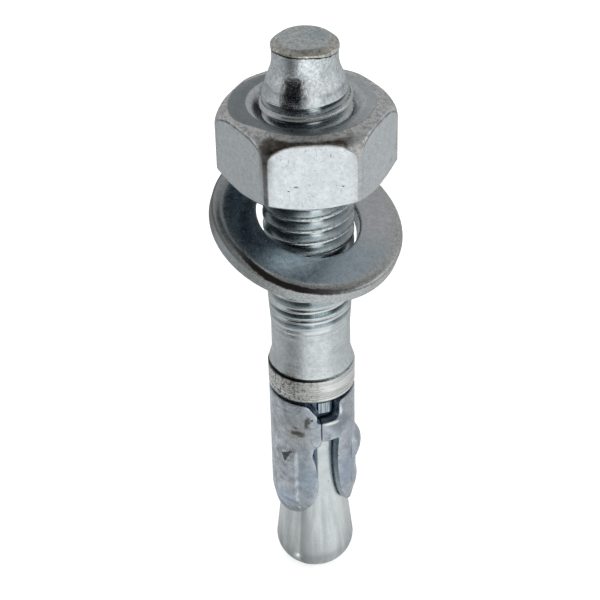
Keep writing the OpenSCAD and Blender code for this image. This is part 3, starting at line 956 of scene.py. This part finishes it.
washerSetup = {
    "outer": 10.75, "hole": 5.8, "thick": 1.8, "centre": 47.937, "play": 0.071, "shift": 0.256,
    "lowSide": 42.0, "rollWidth": 1.4, "rollFall": 0.45, "burr": 0.12, "waver": 0.02, "around": 288,
    "sharpAbove": 45.0,
    "pale": (0.62, 0.70, 0.75, 1), "dull": (0.44, 0.52, 0.57, 1), "mauve": (0.70, 0.70, 0.72, 1),
    "rimPale": (0.72, 0.73, 0.71, 1), "rimDull": (0.44, 0.45, 0.44, 1),
    "rimLeft": (0.42, 0.44, 0.44, 1), "wallLeft": (0.24, 0.24, 0.235, 1), "tealReflection": (0.17, 0.27, 0.33, 1),
    "dirt": (0.035, 0.028, 0.024, 1),
}


def makeWasher(s, material):
    half = s["thick"] / 2
    rollStart = s["outer"] - s["rollWidth"]
    rollRadius = (s["rollWidth"] ** 2 + s["rollFall"] ** 2) / (2 * s["rollFall"])
    rollEnd = math.degrees(math.acos(s["rollWidth"] / rollRadius))
    rolled = arc((rollStart, half - rollRadius), rollRadius, 90, rollEnd, 12)
    path = [(s["hole"] + 1, half)] + rolled[:-1] + softCorners([
        rolled[-2] + (0,),
        (s["outer"], half - s["rollFall"], 0.12),
        (s["outer"], -half, s["burr"]),
        (s["hole"], -half, 0.2),
        (s["hole"], half, 0.25),
        (s["hole"] + 1, half, 0),
    ])[1:]
    path = np.array(denser(path, 0.4)[:-1])
    angle = np.radians(np.linspace(0, 360, s["around"], endpoint=False))
    r = np.repeat(path[:, 0][:, None], len(angle), axis=1)
    z = np.repeat(path[:, 1][:, None], len(angle), axis=1)
    # punched from sheet: the rim wavers
    r -= s["waver"] * (1 + np.sin(angle * 5 + 1) * 0.5) * (r > s["outer"] - 0.3)
    reach = math.hypot(2 * s["hole"], s["thick"])
    tilt = math.acos((2 * thread["major"] + 2 * s["play"]) / reach) - math.atan(s["thick"] / (2 * s["hole"]))
    flat = np.stack([r * np.cos(angle), r * np.sin(angle), z], axis=2)
    lowSide = math.radians(turnOfFront + s["lowSide"])
    lean = np.array(Matrix.Rotation(lowSide, 3, "Z") @ Matrix.Rotation(tilt, 3, "Y"))
    centre = np.array(onWall(s["shift"], s["lowSide"] - 90, s["centre"]))
    piece = roundGrid("washer_ring", (flat @ lean.T + centre) * mm, False)
    markPoints(piece.data, "ringRadius", r)
    outward(piece)
    piece.data.materials.append(material)
    shadeSmooth(piece, s["sharpAbove"])
    return piece


def washerZinc(s):
    material, shader, here = startMaterial("washerZinc")
    turn = place("roundPlace", Vector=here)["Turn"]
    ring = attribute(material, "ringRadius")
    skin, sheen, height = place("zincSkin", Vector=here, Pale=s["pale"], Dull=s["dull"], Cloud_Scale=0.28,
                                Contrast=1.2, Sheen_Low=0.16, Sheen_High=0.3)
    specks = place("darkSpecks", Vector=here, Scale=1.8, Amount=0.22)
    mauve = place("patch", Vector=here, Centre=(8.0, 1.0, 48.0), Reach=(5.0, 7.0, 6.0), Ragged=0.7, Edge=0.8)
    color = coat(skin, s["mauve"], mauve, 0.8)
    color = coat(color, gray(0.15), specks, 0.4)
    # the rolled rim is paler and warmer, less so to the left as its painted light fades, and in painted shade
    # further to the left
    outer, rollStart = s["outer"], s["outer"] - s["rollWidth"]
    wobble = mulAdd(grain(here, 1.1, 3.0, 0.6), 0.5, sub(ring, 0.25))
    grit = grain(here, 5.5, 4.0, 0.7)
    rim = blend(fit(grit, 0.36, 0.6), s["rimDull"], s["rimPale"])
    lit = mulAdd(leftward(turn, -30.0, -75.0), -0.4, 0.85)
    color = coat(color, rim, fit(wobble, rollStart - 0.15, rollStart + 0.35), lit)
    leftRimShade = blend(fit(ring, outer - 0.35, outer - 0.1), s["rimLeft"], s["wallLeft"])
    onRim = fit(ring, rollStart - 0.25, rollStart + 0.05)
    color = coat(color, leftRimShade, band(turn, -140.0, -66.0, 14.0), onRim, 0.85)
    # painted reflection: the face is deep teal to the left
    onFace = band(wobble, s["hole"] + 1.5, rollStart - 0.25, 0.5)
    color = coat(color, s["tealReflection"], band(turn, -118.0, -46.0, 14.0), onFace, 0.6)
    # an arc of dirt on the rim, widest at the front left
    inner = fit(turn, -50.0, -18.0, outer - 0.8, outer - 0.39)
    wide = mul(fit(turn, -64.0, -34.0), fit(turn, 44.0, -8.0))
    dirt = fit(calc("DIVIDE", unsigned(sub(wobble, inner)), mulAdd(wide, 0.38, 0.02)), 1.0, 0.6)
    color = coat(color, s["dirt"], dirt, fit(ring, outer - 0.01, outer - 0.07), wide, 0.95)
    color = place("mottle", Vector=here, Color=color, Scale=2.2, Amount=0.3)
    edge = fit(ring, outer - 0.25, outer - 0.05)
    finish(shader, color, mulAdd(edge, 0.22, sheen), (height, 0.2, 0.1), (mul(grit, edge), 0.45, 0.12))
    return material


# expansion clip: a flat blank with its cut-outs, rolled round the neck

clipSetup = {
    "top": 25.85, "end": 9.0, "inner": 3.75, "sheet": 1.2,
    "middle": 22.5, "span": 33.0, "windowTop": 20.55,
    "notchFloor": 23.3, "notchCorner": 13.5, "notchCornerFall": 1.6,
    "seam": 11.2, "seamGap": 0.03, "tongueDrop": 0.5,
    "cornerRadius": 4.4, "taperTop": 11.5, "endRadius": 4.5,
    "coneSlope": 0.1092, "coneTop": 11.5, "conePlay": 0.05,
    "padTurn": 63.0, "padAngle": 36.0,
    # pads: level, reach up and down, how far they stand out
    "pads": ((17.4, 2.1, 2.9, 0.72), (12.2, 1.8, 1.8, 0.22)),
    "padRidge": (0.34, 0.1),  # long low ridge that joins the pads, left and right
    "padShare": (0.55, 1.0),  # how much of the pads' height is left after pressing, left and right
    "ridgeEnds": (10.8, 12.0, 18.1, 19.2),  # levels between which that ridge rises and falls
    "voxel": 0.105, "easing": 5, "sharpAbove": 60.0,
    # sheared edges of the seam's window, down the left and up the right: turn, level, corner radius
    "leftEdge": ((7.0, 19.85, 0.3), (0.8, 19.5, 0.25), (-1.8, 18.4, 0.6), (2.4, 17.1, 0.8),
                 (5.4, 15.2, 1.0), (6.1, 13.7, 0.8), (4.6, 12.6, 0.6), (0.5, 11.6, 0.5), (-6.0, 10.75, 0.5),
                 (-14.0, 10.05, 0.5)),
    "rightEdge": ((47.0, 11.15, 0.5), (42.5, 12.1, 0.6), (38.6, 13.4, 0.8), (36.2, 15.2, 0.9),
                  (35.2, 17.2, 0.9), (36.4, 19.2, 0.8), (38.0, 20.0, 0.3)),
    # sides of the three-cornered painted shade on the left pad: level at turn 0, rise per degree, how softly
    # it ends
    "padShadeSides": ((20.32, 0.0413, -0.16), (10.35, -0.175, 0.16), (24.41, 0.1827, 0.16)),
    "bendCentre": (4.0, 21.5), "bendReach": (7.3, 1.65),  # bent outline of the tongue: turn and level
    "pale": (0.80, 0.84, 0.90, 1), "dull": (0.37, 0.395, 0.43, 1), "frontRightShade": (0.34, 0.38, 0.42, 1),
    "stainAndShade": (0.065, 0.054, 0.045, 1), "scuffAndShade": (0.06, 0.055, 0.05, 1), "tongueShade": (0.12, 0.12, 0.12, 1),
    "edgeLow": (0.42, 0.48, 0.53, 1), "edge": (0.18, 0.25, 0.31, 1), "edgeTop": (0.50, 0.60, 0.66, 1),
    "edgeInner": (0.06, 0.08, 0.1, 1),
    "stainsAndShade": (  # turn, level, reach round the wall and up it, how dark; the thin one at turn -47 is painted shade in a crease on the left finger
        (-21.5, 21.8, 1.3, 0.5, 0.85), (-15.5, 21.45, 0.5, 0.26, 0.75), (-24.0, 22.5, 0.35, 0.3, 0.5),
        (-7.5, 23.7, 0.45, 1.05, 0.8), (-9.5, 22.9, 0.3, 0.5, 0.6), (-1.3, 23.9, 0.2, 0.2, 0.95),
        (-4.0, 22.7, 0.3, 0.2, 0.5), (-27.0, 22.6, 0.5, 0.3, 0.35), (-40.0, 24.6, 1.2, 0.3, 0.3),
        (-47.0, 14.4, 0.9, 0.14, 0.6), (35.0, 17.83, 0.2, 0.22, 0.8)),
    "tintsAndHighlights": (  # turn, level, reach round the wall and up it, strength, colour; the rows marked below are painted highlights
        (-24.0, 22.0, 2.6, 3.0, 0.55, (0.49, 0.475, 0.45, 1)),
        # painted highlight on the lower left finger
        (-45.0, 11.5, 2.4, 1.9, 0.8, (0.58, 0.70, 0.88, 1)),
        (-10.0, 15.0, 1.6, 3.0, 0.55, (0.43, 0.53, 0.64, 1)),
        (55.0, 15.0, 2.2, 3.4, 0.65, (0.40, 0.48, 0.62, 1)),
        (40.0, 22.8, 2.4, 1.8, 0.85, (0.29, 0.32, 0.35, 1)),
        # painted highlights on the left finger's end and the pad's right edge, the right pad, and the notch's
        # lower right edge and right side
        (-22.3, 10.4, 0.4, 0.42, 0.95, (0.97, 0.98, 1.0, 1)),
        (-24.4, 12.7, 0.2, 0.7, 0.9, (0.95, 0.97, 1.0, 1)),
        (-25.0, 16.6, 0.14, 1.5, 0.75, (0.95, 0.97, 1.0, 1)),
        (64.0, 18.4, 0.55, 1.0, 0.8, (0.90, 0.96, 1.0, 1)),
        (27.0, 23.02, 1.5, 0.3, 0.9, (1.0, 1.0, 1.0, 1)),
        (41.0, 24.4, 0.35, 0.9, 0.85, (0.98, 0.98, 1.0, 1))),
}


def fingerEnd(s, fromWindow):
    # lower edge of a finger at an angle from a window's centre: a round corner, seen square on
    outer = s["inner"] + s["sheet"]
    halfWindow = (outer - s["sheet"] / 2) * math.sin(math.radians(s["span"] / 2))
    centre = halfWindow + s["cornerRadius"]
    past = centre - outer
    level = s["end"] + math.sqrt(s["cornerRadius"] ** 2 - past ** 2)
    off = centre - outer * math.sin(math.radians(fromWindow))
    return level - math.sqrt(max(s["cornerRadius"] ** 2 - off ** 2, 0))


def clipOutline(s):
    # corners of the flat blank as (turn in degrees, level, corner radius)
    left, right = s["middle"] - s["span"] / 2, s["middle"] + s["span"] / 2
    gap = math.degrees(s["seamGap"] / s["inner"])
    tongue = s["windowTop"] - s["tongueDrop"]
    points = [
        (s["seam"] + gap, s["windowTop"], 0.1),
        (s["seam"] + gap, s["notchFloor"], 0.15),
        (right, s["notchFloor"], 0.9),
        (right, s["top"], 0.5),
        (360 + left - s["notchCorner"], s["top"], 0.8),
        (360 + left, s["top"] - s["notchCornerFall"], 0.6),
        (360 + left, s["notchFloor"], 0.25),
        (360 + s["seam"], s["notchFloor"], 0.15),
        (360 + s["seam"], tongue, 0.45),
    ]
    # down the fingers and up again, from the seam's window round to its other side
    points += [(360 + turn, level, radius) for turn, level, radius in s["leftEdge"]]
    half = s["span"] / 2
    bend = [half + (180 - 2 * half) * k / 40 for k in range(40, -1, -1)]
    back = s["middle"] + 180
    first, last = 360 + s["leftEdge"][-1][0] - 3, s["rightEdge"][0][0] + 3
    points += [(back + off, fingerEnd(s, min(off, 180 - off)), 0) for off in bend if back + off < first]
    points += [(back + half, s["windowTop"], 0.5), (back - half, s["windowTop"], 0.5)]
    ahead = back - 180
    points += [(ahead + off, fingerEnd(s, min(off, 180 - off)), 0) for off in bend if ahead + off > last]
    points += list(s["rightEdge"])
    points.append((s["rightEdge"][-1][0], s["windowTop"], 0.4))
    return points


def makeClip(s, material):
    middle = s["inner"] + s["sheet"] / 2
    scale = math.radians(1) * middle
    corners = [(turn * scale, level, radius) for turn, level, radius in clipOutline(s)]
    outline = softCorners(corners + [corners[0]], 5)[:-1]
    count = len(outline)
    verts = [(x, 0.0, z) for x, z in outline] + [(x, s["sheet"], z) for x, z in outline]
    faces = [tuple(range(count)), tuple(range(2 * count - 1, count - 1, -1))]
    faces += [(i, i + count, (i + 1) % count + count, (i + 1) % count) for i in range(count)]
    piece = newObject("clip_sheet", verts, faces)
    outward(piece)
    remesh = piece.modifiers.new("skin", "REMESH")
    remesh.mode = "VOXEL"
    remesh.voxel_size = s["voxel"]
    ease = piece.modifiers.new("ease", "SMOOTH")
    ease.factor = 0.5
    ease.iterations = s["easing"]
    made = applied(piece)
    flat = np.zeros(len(made.vertices) * 3)
    made.vertices.foreach_get("co", flat)
    x, depth, z = flat.reshape(-1, 3).T
    turn = x / scale
    share = np.clip(depth / s["sheet"], 0, 1)
    # the fingers draw in at their ends, and inside they follow the cone
    cone = s["inner"] - s["conePlay"] + np.maximum(s["coneTop"] - z, 0) * s["coneSlope"]
    inner = np.maximum(s["inner"], cone + s["conePlay"])
    wall = s["inner"] + s["sheet"]
    drawn = np.clip((s["taperTop"] - z) / (s["taperTop"] - s["end"]), 0, 1) ** 1.3
    outer = wall - (wall - s["endRadius"]) * drawn
    radius = inner + (outer - inner) * share
    ends = s["ridgeEnds"]
    for side, ridge, kept in zip((-1, 1), s["padRidge"], s["padShare"]):
        off = np.abs((turn - s["middle"] - side * s["padTurn"] + 180) % 360 - 180)
        across = 1 - smooth(s["padAngle"] / 2 - 2.5, s["padAngle"] / 2, off)
        height = ridge * smooth(*ends[:2], z) * (1 - smooth(*ends[2:], z))
        for level, above, below, out in s["pads"]:
            rise = np.clip(1 - np.abs(z - level) / np.where(z > level, above, below), 0, 1)
            height = np.maximum(height, kept * out * smooth(0, 1, rise))
        radius += height * across * share
    markPoints(made, "sheetDepth", share)  # how deep in the sheet a point lies, for the dark cut edges
    made.vertices.foreach_set("co", onAxis(radius, turn, z).ravel())
    made.update()
    outward(piece)
    made.materials.append(material)
    shadeSmooth(piece, s["sharpAbove"])
    return piece


def clipZinc(s):
    material, shader, here = startMaterial("clipZinc")
    spot = place("roundPlace", Vector=here)
    turn, level = spot["Turn"], spot["Level"]
    skin, sheen, height = place("zincSkin", Vector=here, Pale=s["pale"], Dull=s["dull"], Cloud_Scale=0.7,
                                Contrast=2.9, Sheen_Low=0.2, Sheen_High=0.36)
    specks = place("darkSpecks", Vector=here, Scale=1.7, Amount=0.25)
    streaks = place("drawnLines", Vector=here, Along=(1.6, 1.6, 0.1), Scale=1.2)
    wall = s["inner"] + s["sheet"]
    # painted shade over the front and right of the clip, half as much round the back
    color = coat(skin, s["frontRightShade"], leftward(turn, -36.0, -10.0), 0.4)
    for toTurn, up, wide, high, strength, tint in s["tintsAndHighlights"]:
        patch = place("patch", Vector=here, Centre=onWall(wall, toTurn, up), Reach=(wide, wide, high),
                      Ragged=min(0.7, wide), Edge=0.75)
        color = coat(color, tint, patch, strength)
    color = coat(color, gray(0.13, 0.1), specks, 0.6)
    for toTurn, up, wide, high, dark in s["stainsAndShade"]:
        stainAndShade = place("patch", Vector=here, Centre=onWall(wall, toTurn, up), Reach=(wide, wide, high),
                      Ragged=1.4, Edge=0.65)
        color = coat(color, s["stainAndShade"], stainAndShade, dark)
    # painted shade, a dark three-cornered patch on the left pad's upper slope
    sides = [fit(sub(level, mulAdd(turn, rise, start)), 0.0, soft) for start, rise, soft in s["padShadeSides"]]
    color = coat(color, s["scuffAndShade"], *sides, 0.85)
    # painted shade along the bent outline of the tongue beside the seam
    (midTurn, midLevel), (wide, high) = s["bendCentre"], s["bendReach"]
    aside = calc("DIVIDE", sub(turn, midTurn), wide)
    below = calc("DIVIDE", sub(level, midLevel), high)
    reach = calc("SQRT", add(mul(aside, aside), mul(below, below)))
    lower = fit(level, midLevel + 0.4, midLevel - 0.3)
    color = coat(color, s["tongueShade"], band(reach, 0.97, 1.03, 0.05), lower, 0.75)
    # cut edges are slate, paler low on the fingers, paler at the notch floor as painted light and black
    # towards the neck as painted shade; the seam is pressed shut, so little of its edges shows
    depth = attribute(material, "sheetDepth")
    slate = blend(fit(level, 13.0, 17.5), s["edgeLow"], s["edge"])
    slate = coat(slate, s["edgeTop"], fit(level, 22.0, 23.0))
    seamTurn = band(turn, s["seam"] - 1.4, s["seam"] + 1.6, 0.4)
    inSeam = mul(seamTurn, band(level, s["windowTop"] + 0.05, s["notchFloor"] - 0.3, 0.2))
    bare = mulAdd(inSeam, -0.6, 0.9)
    color = coat(color, slate, fit(depth, 0.95, 0.75), bare)
    color = coat(color, s["edgeInner"], fit(depth, 0.42, 0.15), bare)
    color = place("mottle", Vector=here, Color=color, Scale=2.0, Amount=0.3)
    finish(shader, color, sheen, (height, 0.5, 0.2), (streaks, 0.3, 0.1))
    return material


# the pieces, each with its body and slot

pieces = {
    "stud": ("stud", "stud_zinc", makeStud(studSetup, studZinc(studSetup))),
    "expansion_clip": ("clip", "clip_zinc", makeClip(clipSetup, clipZinc(clipSetup))),
    "washer": ("washer", "washer_zinc", makeWasher(washerSetup, washerZinc(washerSetup))),
    "hex_nut": ("nut", "nut_zinc", makeNut(nutSetup, nutZinc(nutSetup))),
}
for node, (body, slot, piece) in pieces.items():
    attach(piece, body)
    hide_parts(node)
    piece.data.calc_loop_triangles()
    print(piece.name, len(piece.data.loop_triangles), "triangles")


# stage: pale floor, soft lights, and what the metal mirrors

stageSetup = {
    "floorHalf": 3.0, "floorTone": 0.93, "backdrop": 0.97,
    "ambient": 0.62,       # soft light from all round, for the floor
    "cardBelow": 0.3,      # mm under the floor
    "cardTint": (0.97, 1.0, 1.01, 1),
    "nearLeft": 0.58, "nearFront": 0.84, "nearRight": 0.66, "glint": 1.6,
    "cardFront": 1.04, "cardLeft": 0.44, "cardRight": 0.68, "cardSide": 0.54,
    "cardDark": 0.05, "cardShade": 0.2,
    "skyLeft": 0.7, "skyRight": 0.88, "skyBack": 0.42, "skyTop": 0.05, "skyFront": 0.2,
    "panelTurn": -37.0, "panelWide": 31.0, "panelFar": 80.0, "panelHalf": 60.0,
    "panelLow": 54.0, "panelHigh": 120.0, "panelTone": 0.012,
    "lights": {  # size in metres, power in watts, place in metres
        "key": ((0.7, 0.7), 5.0, (-0.3, 0.2, 0.8)),
        "fill": ((0.6, 0.4), 2.5, (0.5, -0.4, 0.6)),
    },
    "lightTarget": (0, 0, 0.035),
}


def makeFloor(s, square):
    floor = newObject("floor", [(x, y, 0) for x, y in square], [(0, 1, 2, 3)])
    material = bpy.data.materials.new("paleFloor")
    material.use_nodes = True
    inputs = material.node_tree.nodes["Principled BSDF"].inputs
    inputs["Base Color"].default_value = gray(s["floorTone"])
    inputs["Roughness"].default_value = 0.9
    inputs["Specular IOR Level"].default_value = 0.1
    floor.data.materials.append(material)
    floor.visible_glossy = False


def startGlow(thing, name):
    # a glow that is seen only in the metal; gives its colour socket and the place round the axis
    glow = bpy.data.materials.new(name)
    glow.use_nodes = True
    nodes = glow.node_tree.nodes
    nodes.clear()
    emit = nodes.new("ShaderNodeEmission")
    join(emit.outputs[0], nodes.new("ShaderNodeOutputMaterial").inputs["Surface"])
    here = nodes.new("ShaderNodeTexCoord").outputs["Object"]
    thing.data.materials.append(glow)
    thing.visible_camera = thing.visible_diffuse = thing.visible_shadow = thing.visible_transmission = False
    return emit.inputs["Color"], place("roundPlace", Vector=vectorCalc("SCALE", here, 1 / mm))


def makeCard(s, square):
    # a card just under the floor: bright ahead, dark to the front left
    card = newObject("mirrorCard", [(x, y, -s["cardBelow"] * mm) for x, y in square], [(0, 1, 2, 3)])
    glow, spot = startGlow(card, "cardGlow")
    out, turn = spot["Radius"], spot["Turn"]
    near = fit(turn, -30.0, 25.0, s["nearLeft"], s["nearFront"])
    near = coat(near, gray(s["nearRight"]), fit(turn, 60.0, 100.0))
    near = coat(near, gray(s["nearRight"]), fit(turn, -120.0, -165.0))
    near = blend(fit(out, 6.0, 14.0), blend(1.0, near, gray(0.6), "MULTIPLY"), near)  # shade under the anchor
    near = coat(near, gray(s["glint"]), band(turn, -43.0, -34.0, 3.0), band(out, 5.6, 7.2, 0.4))
    far = fit(turn, -40.0, 60.0, s["cardLeft"], s["cardRight"])
    far = coat(far, gray(s["cardFront"]), band(turn, -18.0, 48.0, 12.0))
    far = coat(far, gray(s["cardSide"]), fit(turn, 95.0, 120.0))
    far = coat(far, gray(s["cardLeft"]), fit(unsigned(turn), 130.0, 165.0))
    far = coat(far, fit(out, 84.0, 100.0, s["cardDark"], s["cardShade"]), band(turn, -74.0, -31.0, 8.0))
    value = blend(fit(out, 34.0, 62.0), near, far)
    join(blend(1.0, value, s["cardTint"], "MULTIPLY"), glow)


def makePanel(s):
    # a dark panel to the front left, above the washer's height
    angle = math.radians(s["panelTurn"] + turnOfFront)
    middle = Vector((math.cos(angle), math.sin(angle), 0)) * s["panelFar"]
    across = Vector((-math.sin(angle), math.cos(angle), 0)) * s["panelHalf"]
    low, high = s["panelLow"], s["panelHigh"]
    corners = [middle + across * side + Vector((0, 0, level))
               for side, level in ((-1, low), (1, low), (1, high), (-1, high))]
    panel = newObject("darkPanel", [c * mm for c in corners], [(0, 1, 2, 3)])
    glow, spot = startGlow(panel, "panelShade")
    turn, level = spot["Turn"], spot["Level"]
    inside = band(turn, s["panelTurn"] - s["panelWide"], s["panelTurn"] + s["panelWide"], 4.0)
    core = mul(inside, fit(level, low, low + 10))
    join(blend(core, gray(s["skyLeft"]), gray(s["panelTone"])), glow)


def makeSky(s):
    world = bpy.data.worlds.new("studio")
    world.use_nodes = True
    nodes = world.node_tree.nodes
    out, turn, level = place("roundPlace", Vector=nodes.new("ShaderNodeTexCoord").outputs["Generated"])
    rise = calc("DEGREES", calc("ARCTAN2", level, out))
    low = fit(turn, -60.0, 60.0, s["skyLeft"], s["skyRight"])
    front = coat(low, gray(s["skyFront"]), fit(rise, 18.0, 40.0))
    back = blend(fit(rise, 56.0, 70.0), gray(s["skyBack"]), gray(s["skyTop"]))
    mirrored = blend(fit(unsigned(turn), 80.0, 125.0), front, back)
    path = nodes.new("ShaderNodeLightPath").outputs
    seen = blend(path["Is Glossy Ray"], gray(s["ambient"]), mirrored)
    seen = blend(path["Is Camera Ray"], seen, gray(s["backdrop"]))
    join(seen, nodes["Background"].inputs["Color"])
    bpy.context.scene.world = world


def makeLights(s):
    for name, (spread, power, spot) in s["lights"].items():
        data = bpy.data.lights.new(name, "AREA")
        data.shape = "RECTANGLE"
        data.size, data.size_y = spread
        data.energy = power
        data.use_shadow = False
        light = addObject(name, data)
        light.location = spot
        aim = Vector(s["lightTarget"]) - Vector(spot)
        light.rotation_euler = aim.to_track_quat("-Z", "Y").to_euler()
        light.visible_glossy = False


floorHalf = stageSetup["floorHalf"]
square = [(-floorHalf, -floorHalf), (floorHalf, -floorHalf), (floorHalf, floorHalf), (-floorHalf, floorHalf)]
makeFloor(stageSetup, square)
makeCard(stageSetup, square)
makePanel(stageSetup)
makeSky(stageSetup)
makeLights(stageSetup)
bpy.context.scene.view_settings.view_transform = "Standard"
print("stage lit")
